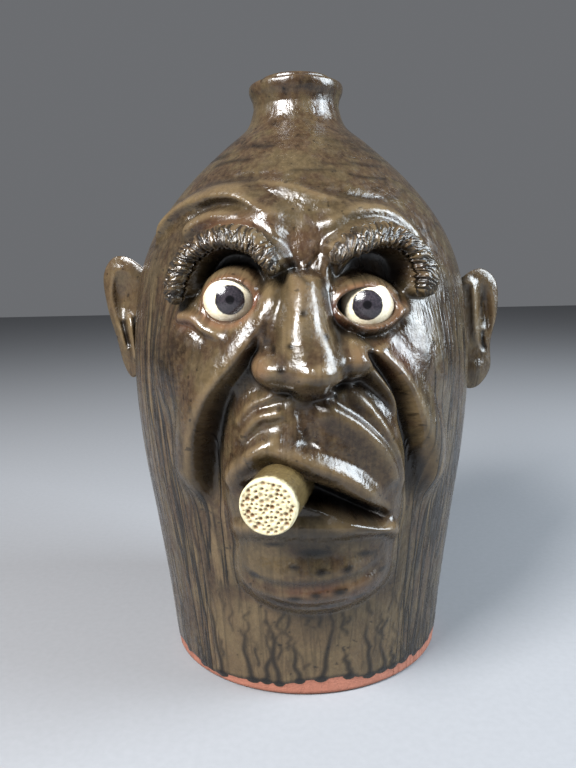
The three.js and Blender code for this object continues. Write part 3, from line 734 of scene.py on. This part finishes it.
RIGHT_HAIR = [(-52.5, 183), (-51, 193), (-47.5, 202), (-40, 208.5), (-30, 210.5), (-20, 208.5), (-13, 202.5),
              (-9, 195)]
LEFT_HAIR = [(13, 199), (19.5, 205), (31, 209.5), (41, 209.5), (49, 204.5), (52.5, 197), (52.5, 190),
             (51.5, 184)]
brows = [make_brow("brow_right", RIGHT_HAIR, half_width=4.6, slant=0.25, seed=3),
         make_brow("brow_left", LEFT_HAIR, half_width=4.8, slant=-0.75, seed=5)]


# Materials
class Paint:
    """A procedural material. Each call adds a node and gives its output."""

    def __init__(self, name):
        self.material = bpy.data.materials.new(name)
        self.material.use_nodes = True
        self.nodes = self.material.node_tree.nodes
        self.shader = self.nodes["Principled BSDF"]

    def put(self, socket, value):
        if isinstance(value, bpy.types.NodeSocket):
            self.material.node_tree.links.new(value, socket)
        else:
            socket.default_value = (*value, 1) if socket.type == "RGBA" else value

    def add(self, kind, out=0, settings=None, **values):
        node = self.nodes.new("ShaderNode" + kind)
        for key, value in (settings or {}).items():
            setattr(node, key, value)
        for key, value in values.items():
            self.put(node.inputs[int(key[1:]) if key[1:].isdigit() else key.replace("_", " ")], value)
        return node.outputs[out]

    def math(self, kind, a, b=0.0, limit=False):
        return self.add("Math", settings={"operation": kind, "use_clamp": limit}, i0=a, i1=b)

    def times(self, a, b, limit=False):
        return self.math("MULTIPLY", a, b, limit)

    def plus(self, a, b):
        return self.math("ADD", a, b)

    def mix(self, share, a, b):
        return self.add("Mix", out=2, settings={"data_type": "RGBA"}, i0=share, i6=a, i7=b)

    def ease(self, value, low, high, to=(0.0, 1.0)):
        return self.add("MapRange", settings={"interpolation_type": "SMOOTHSTEP"}, i0=value, i1=low, i2=high,
                        i3=to[0], i4=to[1])

    def attribute(self, name, out=2):
        return self.add("Attribute", out=out, settings={"attribute_name": name})

    def scaled(self, vector, scale, shift=(0, 0, 0)):
        return self.add("VectorMath", settings={"operation": "MULTIPLY_ADD"}, i0=vector, i1=scale, i2=shift)

    def noise(self, vector, detail=2.0, roughness=0.5, bend=0.0):
        return self.add("TexNoise", Vector=vector, Scale=1.0, Detail=detail, Roughness=roughness,
                        Distortion=bend)

    def grain(self, place, across, up, shift=(0, 0, 0), **how):
        """Noise with forms about this many millimetres across and up."""
        return self.noise(self.scaled(place, (1 / across, 1 / across, 1 / up), shift), **how)

    def bump(self, height, distance, strength=1.0, normal=None):
        below = {} if normal is None else {"Normal": normal}
        return self.add("Bump", Height=height, Distance=distance, Strength=strength, **below)

    def finish(self, **values):
        for key, value in values.items():
            self.put(self.shader.inputs[key.replace("_", " ")], value)
        return self.material


def srgb(r, g, b):
    """A linear colour from the 0 to 255 values of a screen."""
    return tuple(((c / 255 + 0.055) / 1.055) ** 2.4 if c > 10 else c / 255 / 12.92 for c in (r, g, b))


def glaze_paint():
    p = Paint("ash_glaze")
    place = p.attribute("place", 1)
    pool_and_shade, thin_and_highlight, above, run_and_shade, flushed, worked = (
        p.attribute(n) for n in ("pool_and_shade", "thin_and_highlight", "above", "run_and_shade", "flush", "modelled"))
    height = p.add("SeparateXYZ", out=2, Vector=place)
    plain = p.ease(worked, 0, 1, (1, 0.25))
    # Runs of dark glaze: the level lines of a noise drawn out down the wall
    drawn = p.grain(place, 6.5, 85, roughness=0.55, bend=0.5)
    line = p.math("ABSOLUTE", p.math("SUBTRACT", drawn, 0.5))
    runny = p.ease(line, 0.008, 0.06, (1, 0))
    low_down = p.ease(height, 215, 150, (0.12, 1))
    # The run attribute also carries painted shade in the mouth, the lids' openings and the frown
    run_and_shade_share = p.math("MAXIMUM", run_and_shade, p.times(runny, p.times(plain, low_down)))
    # Fine grain drawn down the sides, blotches and specks
    fine = p.grain(place, 3.2, 40, bend=0.3)
    blotch = p.grain(place, 15, 19, (9, 2, 7), detail=5, roughness=0.62)
    cloud = p.grain(place, 42, 34, (4, 6, 2))
    mottle = p.grain(place, 2.4, 2.8, (5, 5, 1), detail=4, roughness=0.7)
    specks = p.ease(p.grain(place, 3.4, 2.8, (1, 7, 5), detail=1.5), 0.66, 0.74)
    olive, tan, brown = srgb(60, 50, 34), srgb(115, 97, 70), srgb(49, 36, 25)
    dark, red = srgb(11, 8, 6), srgb(90, 52, 38)
    colour = p.mix(p.ease(blotch, 0.42, 0.56), olive, brown)
    colour = p.mix(p.ease(blotch, 0.58, 0.66, (0, 0.75)), colour, srgb(24, 16, 10))
    colour = p.mix(p.ease(cloud, 0.45, 0.68, (0, 0.65)), colour, srgb(30, 21, 13))
    drawn_share = p.times(plain, low_down)
    streaks = p.times(p.ease(fine, 0.5, 0.75), p.times(drawn_share, 0.4))
    colour = p.mix(streaks, colour, tan)
    colour = p.mix(p.ease(mottle, 0.35, 0.75, (0, 0.2)), colour, tan)
    # Red flush; thin glaze with a painted highlight on ridges; specks; runs with painted shade in the mouth,
    # lids and frown; pooled glaze with painted shade in hollows
    for share, most, over in ((flushed, 0.8, red), (thin_and_highlight, 0.34, tan), (specks, 0.6, dark),
                              (run_and_shade_share, 0.92, dark), (pool_and_shade, 0.85, dark)):
        colour = p.mix(p.times(share, most, limit=True), colour, over)
    ragged = p.times(p.grain(place, 2, 2), 0.8)
    drip = p.times(p.ease(run_and_shade, 0.3, 0.7), 6.0)
    bare = p.ease(p.plus(p.plus(above, ragged), drip), 0.2, 0.6, (1, 0))
    clay_noise = p.grain(place, 1.1, 0.8, detail=4, roughness=0.7)
    clay = p.mix(clay_noise, srgb(160, 104, 84), srgb(128, 78, 62))
    colour = p.mix(p.ease(p.plus(above, ragged), 0.4, 3.0, (0.75, 0)), colour, dark)
    colour = p.mix(bare, colour, clay)
    # The glaze's surface: a faint ripple, the runs standing a little proud, and fine pits
    ripple = p.grain(place, 5, 8, (2, 8, 3))
    pits = p.grain(place, 0.9, 1.1, (7, 2, 2))
    normal = p.bump(ripple, 0.0006)
    normal = p.bump(p.times(p.plus(fine, run_and_shade_share), drawn_share), 0.0004, normal=normal)
    normal = p.bump(mottle, 0.00022, normal=normal)
    normal = p.bump(pits, 0.0001, normal=normal)
    normal = p.bump(clay_noise, 0.0003, p.times(bare, 0.8), normal=normal)
    rough = p.ease(p.grain(place, 4, 5, (1, 1, 6), detail=4), 0.35, 0.7, (0.14, 0.36))
    rough = p.plus(rough, p.times(pool_and_shade, 0.12))
    rough = p.add("Mix", i0=bare, i2=rough, i3=0.85)
    return p.finish(Base_Color=colour, Roughness=rough, Normal=normal)


glaze = glaze_paint()


# Eyes
def axes_to(aim):
    """Across, up and forward, for a piece that faces this way."""
    forward = aim / np.linalg.norm(aim)
    across = np.cross([0, 0, 1.0], forward)
    across /= np.linalg.norm(across)
    return across, np.cross(forward, across), forward


def turned_mesh(name, profile, count, at, aim):
    """A closed turned form. The profile runs from the axis to the axis, as radius and way forward."""
    across, up, forward = axes_to(aim)
    angle = np.arange(count) * 2 * math.pi / count
    profile = np.array(profile, float)
    middle = profile[1:-1]
    outward = np.cos(angle)[:, None] * across + np.sin(angle)[:, None] * up
    rings = middle[:, :1, None] * outward + middle[:, 1:, None] * forward
    points = np.vstack([rings.reshape(-1, 3), profile[0, 1] * forward, profile[-1, 1] * forward]) + at
    n = len(middle)
    faces = quads(n, count, closed=True) + fan(0, count, n * count, flip=True)
    faces += fan((n - 1) * count, count, n * count + 1)
    local = points - at
    place = np.stack([local @ across, local @ up, local @ forward], -1)
    return make_object(name, points, faces, {"place": place})


def eye_paint(name, iris_radius, shift):
    """A pale ball with a dark iris and a darker pupil, both a little uneven."""
    p = Paint(name)
    place = p.scaled(p.attribute("place", 1), (1, 1, 1), shift)
    x, y = (p.add("SeparateXYZ", out=i, Vector=place) for i in (0, 1))
    flat_way = p.add("CombineXYZ", X=x, Y=y, Z=0.0)
    off = p.add("VectorMath", out=1, settings={"operation": "LENGTH"}, i0=flat_way)
    wobble = p.times(p.math("SUBTRACT", p.grain(place, 2, 2, detail=3), 0.5), 0.9)
    edge = p.plus(off, wobble)
    iris = p.ease(edge, iris_radius - 0.25, iris_radius + 0.25, (1, 0))
    pupil = p.ease(edge, 1.5, 2.2, (1, 0))
    crazing = p.noise(p.scaled(place, (0.9, 0.9, 0.9), (3, 3, 3)), detail=4, roughness=0.7)
    white = p.mix(p.ease(crazing, 0.35, 0.75), srgb(232, 224, 200), srgb(208, 196, 164))
    # The white darkens and browns towards the ball's edge: partly yellowish glaze, partly painted shade under
    # the lids
    white = p.mix(p.ease(off, 8.2, 11.0, (0.0, 0.5)), white, srgb(150, 120, 84))
    tint = p.mix(p.ease(crazing, 0.35, 0.7), srgb(34, 32, 37), srgb(54, 49, 54))
    tint = p.mix(p.ease(off, iris_radius - 1.4, iris_radius, (0.0, 0.6)), tint, srgb(20, 19, 23))
    colour = p.mix(iris, white, p.mix(pupil, tint, srgb(10, 9, 12)))
    normal = p.bump(crazing, 0.0001)
    return p.finish(Base_Color=colour, Roughness=0.1, Normal=normal, Coat_Weight=0.4, Coat_Roughness=0.03)


eyes = []
for name, (s, z), iris_radius, shift in (("eye_left", LEFT_EYE, 6.2, (0, -0.2, 0)),
                                         ("eye_right", RIGHT_EYE, 6.1, (0, 0, 0))):
    at = on_wall(s, z, -EYE_DEPTH)
    arc = np.linspace(math.asin(-EYE_BACK / EYE_RADIUS), math.pi / 2, 34)[:-1]
    ball = [(EYE_RADIUS * math.cos(a), EYE_RADIUS * math.sin(a)) for a in arc]
    eye = turned_mesh(name + "_glaze", [(0, -EYE_BACK), *ball, (0, EYE_RADIUS)], 72, at, VIEWER - at)
    eye.data.materials.append(eye_paint(name + "_paint", iris_radius, shift))
    eyes.append(eye)
    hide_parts(name)

# Cigar
CIGAR_AIM = CIGAR_END - CIGAR_ROOT
CIGAR_LENGTH = np.linalg.norm(CIGAR_AIM)
PIT_COUNT = 84
PIT_GAP = 1.55
PIT_DEPTH = 1.3
PITTED_RADIUS = 10
barrel = [(CIGAR_RADIUS, x) for x in np.linspace(0, CIGAR_LENGTH - 1.2, 40)]
burnt_end = [(r, CIGAR_LENGTH) for r in np.linspace(CIGAR_RADIUS - 0.8, 0, 38)]
profile = [(0, 0), *barrel, (CIGAR_RADIUS - 0.25, CIGAR_LENGTH - 0.4), *burnt_end]
cigar = turned_mesh("cigar_roll", profile, 110, CIGAR_ROOT, CIGAR_AIM)


def cigar_paint():
    """Brown glaze on the barrel, and a pale end with darker pits."""
    p = Paint("pale_clay")
    place = p.attribute("place", 1)
    along = p.add("SeparateXYZ", out=2, Vector=place)
    mottle = p.grain(place, 2, 2.5, detail=4, roughness=0.65)
    burnt = p.mix(mottle, srgb(206, 198, 166), srgb(170, 158, 122))
    leaf = p.mix(p.noise(p.scaled(place, (0.9, 0.9, 0.15)), detail=3), srgb(98, 84, 54), srgb(66, 54, 34))
    tip = p.ease(p.plus(along, p.times(mottle, 7)), CIGAR_LENGTH - 1.5, CIGAR_LENGTH + 2.5)
    colour = p.mix(tip, leaf, burnt)
    colour = p.mix(p.attribute("pit"), colour, srgb(98, 66, 34))
    return p.finish(Base_Color=colour, Roughness=p.ease(tip, 0, 1, (0.2, 0.55)),
                    Normal=p.bump(mottle, 0.0005))


def press_pits(piece):
    """Pits in the burnt end, some run together."""
    mesh = piece.data
    count = len(mesh.vertices)
    place = np.empty(count * 3, np.float32)
    mesh.attributes["place"].data.foreach_get("vector", place)
    place = place.reshape(-1, 3)
    spots = []
    while len(spots) < PIT_COUNT:
        spot = random.uniform(-PITTED_RADIUS, PITTED_RADIUS, 2)
        apart = all(np.hypot(*(spot - other[:2])) > PIT_GAP for other in spots)
        if np.hypot(*spot) < PITTED_RADIUS and apart:
            spots.append((*spot, random.uniform(0.45, 1.15), random.uniform(0.45, 1.0)))
    pit = np.zeros(count)
    for x, y, size, deep in spots:
        pit = np.maximum(pit, deep * soft(np.hypot(place[:, 0] - x, place[:, 1] - y) / (1.45 * size)))
    pit *= ease(place[:, 2], CIGAR_LENGTH - 1.5, CIGAR_LENGTH - 0.3)
    co = np.empty(count * 3, np.float32)
    mesh.vertices.foreach_get("co", co)
    co = co.reshape(-1, 3) - (pit * PIT_DEPTH * MM)[:, None] * axes_to(CIGAR_AIM)[2]
    mesh.vertices.foreach_set("co", co.astype(np.float32).ravel())
    pitted = ease(pit, 0.1, 0.75).astype(np.float32)
    mesh.attributes.new("pit", "FLOAT", "POINT").data.foreach_set("value", pitted)
    mesh.update()


press_pits(cigar)
cigar.data.materials.append(cigar_paint())
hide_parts("cigar")


# Ears and handle
CLEAR_OF_FOOT = 100.0
EAR_ANGLE = math.radians(84)
EAR_SWEEP = math.radians(22)
EAR_MIDDLE = np.array([4.0, 0.0])
RIGHT_OUTLINE = [(-9, 18), (0, 29), (11, 31), (18, 22), (17, 6), (12.5, -11), (9, -25), (4, -31.5), (-3, -24),
                 (-9, -10)]
LEFT_OUTLINE = [(-9, 17), (-1, 27), (9, 30), (17, 23), (18, 8), (14.5, -8), (14.5, -22), (7, -31), (-2, -29),
                (-9, -12)]
HANDLE_PATH = [(12, 266.5), (30, 276), (52, 277), (71, 265), (79, 246), (76, 229), (64, 213)]
HANDLE_ROUND = 56


def even_facts(count):
    """The glaze's attributes on a piece that stands clear of the foot and the face."""
    return {"above": np.full(count, CLEAR_OF_FOOT), "run_and_shade": np.zeros(count), "flush": np.zeros(count),
            "modelled": np.full(count, 0.6)}


def make_ear(name, side, z, outline, work):
    """A leaf of clay: its front is worked as a small map of its own, its back is rounded."""
    edge = curve(outline, 18, closed=True)
    shares = np.concatenate([np.linspace(0, 0.5, 14, endpoint=False), np.linspace(0.5, 1, 26)])[1:]
    flat_points = EAR_MIDDLE + (edge[None] - EAR_MIDDLE) * shares[:, None, None]
    sheet = Sheet((-30, -45), (35, 45), 0.3)
    work(sheet)
    sheet.h = sheet.blurred(0.5)
    rim = np.sqrt(np.clip(1 - shares**9, 0, 1))[:, None]
    top = sheet.at(flat_points[..., 0], flat_points[..., 1]) * rim + 1.9 * rim - 0.4
    under = (-2.6 - 1.6 * np.cos(shares * math.pi / 2)[:, None] ** 0.8) * rim - 0.4 * (1 - rim) - 0.1
    under = np.broadcast_to(under, top.shape)
    out = EAR_ANGLE + EAR_SWEEP
    axes = np.array([[side * math.sin(out), -math.cos(out), 0], [0, 0, 1],
                     [side * math.cos(out), -math.sin(out), 0]])
    root = on_wall(side * EAR_ANGLE * MAP_RADIUS, z)
    n, m = flat_points.shape[:2]
    front_side = np.dstack([flat_points, top]).reshape(-1, 3)
    back_side = np.dstack([flat_points[:-1], under[:-1]]).reshape(-1, 3)
    ends = [[*EAR_MIDDLE, sheet.at(*EAR_MIDDLE) + 1.5], [*EAR_MIDDLE, -4.7]]
    local = np.vstack([front_side, back_side, ends])
    faces = quads(n, m, closed=True) + flipped(quads(n - 1, m, n * m, closed=True))
    last, back_last = (n - 1) * m, n * m + (n - 2) * m
    faces += [(back_last + (j + 1) % m, last + (j + 1) % m, last + j, back_last + j) for j in range(m)]
    faces += fan(0, m, len(local) - 2, flip=True) + fan(n * m, m, len(local) - 1)
    # The outline runs clockwise seen from its front, and the other ear is its mirror
    if side < 0:
        faces = flipped(faces)
    points = local @ axes + root
    hollow = sheet.at(local[:, 0], local[:, 1], sheet.blurred(1.6) - sheet.h)
    joint, in_front = ease(local[:, 0], 3, -5), local[:, 2] > -2
    facts = {
        "place": points + np.array([40, 10, 30]),
        # Dark in the ear's hollows and at its joint with the wall, pooled glaze with painted shade
        "pool_and_shade": ease(hollow, 0.1, 0.8) * in_front + 0.6 * joint,
        "thin_and_highlight": ease(-hollow, 0.08, 0.6) * in_front + 0.35,
        **even_facts(len(points)),
    }
    return make_object(name, points, faces, facts)


def work_right_ear(e):
    e.patch((6.5, 9), (9.5, 17), -4.2)
    e.stroke([(2, 20), (10, 25), (14, 16), (12.5, 2), (9, -12), (5, -25)], [0.5, 0.8, 0.8, 0.7, 0.5], 3)
    e.stroke([(5, 4), (4, -6), (3, -16), (2.5, -24)], [2.6, 3.4, 3, 1.6], 2.6)
    e.stroke([(9, -1), (7, -10), (5.5, -16)], -1.8, 1.8)
    e.stroke([(1, 2), (0.5, -8), (0.5, -18)], -1.8, 1.8)


def work_left_ear(e):
    e.patch((11, 9), (5.5, 18), -4.2, turn=6)
    e.stroke([(-5, 22), (3, 23), (5, 12), (5.5, 0), (7, -10)], [1.2, 1.8, 1.6, 1], 3.4)
    e.stroke([(9.5, -1), (10, -8), (12, -12)], -2, 2)
    e.patch((7, -22), (7, 8), 1.4)


right_ear = make_ear("ear_right", -1, 174, RIGHT_OUTLINE, work_right_ear)
left_ear = make_ear("ear_left", 1, 165, LEFT_OUTLINE, work_left_ear)


def make_handle():
    """A strap pulled from the neck to the shoulder behind, with a groove along its outside."""
    path = curve(HANDLE_PATH, 14)
    steps = np.gradient(path, axis=0)
    steps /= np.linalg.norm(steps, axis=1)[:, None]
    normal = np.stack([-steps[:, 1], steps[:, 0]], -1)
    a = np.arange(HANDLE_ROUND) * 2 * math.pi / HANDLE_ROUND
    t = np.linspace(0, 1, len(path))
    half_width = 13 + 2 * ease(t, 0.85, 1) + ease(t, 0.15, 0)
    thick = 5 + 0.6 * ease(t, 0.85, 1)
    x = np.sign(np.cos(a)) * np.abs(np.cos(a)) ** 0.8
    y = np.sin(a)
    groove = (0.5 * np.exp(-((np.abs(x) - 0.62) / 0.2) ** 2) - 1.1 * np.exp(-((x / 0.42) ** 2))) * (y > 0)
    across = half_width[:, None] * x
    out = thick[:, None] * y + groove
    points = np.stack([across, path[:, :1] + normal[:, :1] * out, path[:, 1:] + normal[:, 1:] * out], -1)
    n = len(path)
    local = np.vstack([points.reshape(-1, 3), points[0].mean(0), points[-1].mean(0)])
    faces = flipped(quads(n, HANDLE_ROUND, closed=True)) + fan(0, HANDLE_ROUND, n * HANDLE_ROUND)
    faces += fan((n - 1) * HANDLE_ROUND, HANDLE_ROUND, n * HANDLE_ROUND + 1, flip=True)
    facts = {
        "place": local + np.array([20, 70, 0]),
        # Dark along the groove, pooled glaze with painted shade; lighter at the strap's edges, thin glaze
        # with a painted highlight
        "pool_and_shade": [*np.tile(0.5 * np.exp(-((x / 0.3) ** 2)) * (y > 0), n), 0, 0],
        "thin_and_highlight": [*np.tile(ease(np.abs(x), 0.8, 1), n), 0, 0],
        **even_facts(len(local)),
    }
    return make_object("strap_handle", local, faces, facts)


handle = make_handle()
for piece in (body, *brows, right_ear, left_ear, handle):
    piece.data.materials.append(glaze)
    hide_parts("jug")
for piece in (body, *brows, right_ear, left_ear, handle, cigar, *eyes):
    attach(piece, "root")


# Floor, lights and camera, in metres and radians. The lens and the sensor are in millimetres
FLOOR_SIZE = 6
LENS = 32
SENSOR = 36
PITCH, ROLL, YAW = 0.16425, -0.02224, -0.01968
LAMPS_AIM = Vector((0, 0, 0.17))
ROOM_COLOUR = (0.62, 0.64, 0.68, 1)
ROOM_LIGHT = 0.24


def floor_paint():
    p = Paint("pale_floor")
    grit = p.noise(p.scaled(p.add("TexCoord", out=3), (300, 300, 300)), detail=4.0)
    return p.finish(Base_Color=p.mix(grit, srgb(128, 129, 132), srgb(120, 121, 124)), Roughness=0.9)


bpy.ops.mesh.primitive_plane_add(size=FLOOR_SIZE)
floor = bpy.context.object
floor.name = "floor"
floor.data.materials.append(floor_paint())

forward = np.array([math.sin(YAW) * math.cos(PITCH), math.cos(YAW) * math.cos(PITCH), -math.sin(PITCH)])
right = np.cross(forward, [0, 0, 1])
right /= np.linalg.norm(right)
up = np.cross(right, forward)
right, up = right * math.cos(ROLL) + up * math.sin(ROLL), up * math.cos(ROLL) - right * math.sin(ROLL)
camera = linked("camera", bpy.data.cameras.new("camera"))
camera.data.lens = LENS
camera.data.sensor_width = SENSOR
camera.data.clip_start = 0.01
camera.matrix_world = Matrix([[*axis] for axis in zip(right, up, -forward)]).to_4x4()
camera.matrix_world.translation = VIEWER * MM
bpy.context.scene.camera = camera


def soft_light(name, at, power, wide, high, colour=(1.0, 1.0, 1.0)):
    """A rectangular lamp that faces the jug."""
    lamp = bpy.data.lights.new(name, "AREA")
    lamp.shape = "RECTANGLE"
    lamp.size, lamp.size_y, lamp.energy, lamp.color = wide, high, power, colour
    made = linked(name, lamp)
    made.location = at
    made.rotation_mode = "QUATERNION"
    made.rotation_quaternion = (LAMPS_AIM - Vector(at)).to_track_quat("-Z", "Y")


soft_light("key", (-0.56, -0.68, 0.9), 42, 0.42, 0.42)
soft_light("side", (1.0, -0.2, 0.7), 36, 0.6, 0.9, (0.82, 0.92, 1.0))
world = bpy.data.worlds.new("room")
world.use_nodes = True
background = world.node_tree.nodes["Background"]
background.inputs["Color"].default_value = ROOM_COLOUR
background.inputs["Strength"].default_value = ROOM_LIGHT
bpy.context.scene.world = world
bpy.context.scene.view_settings.view_transform = "Standard"
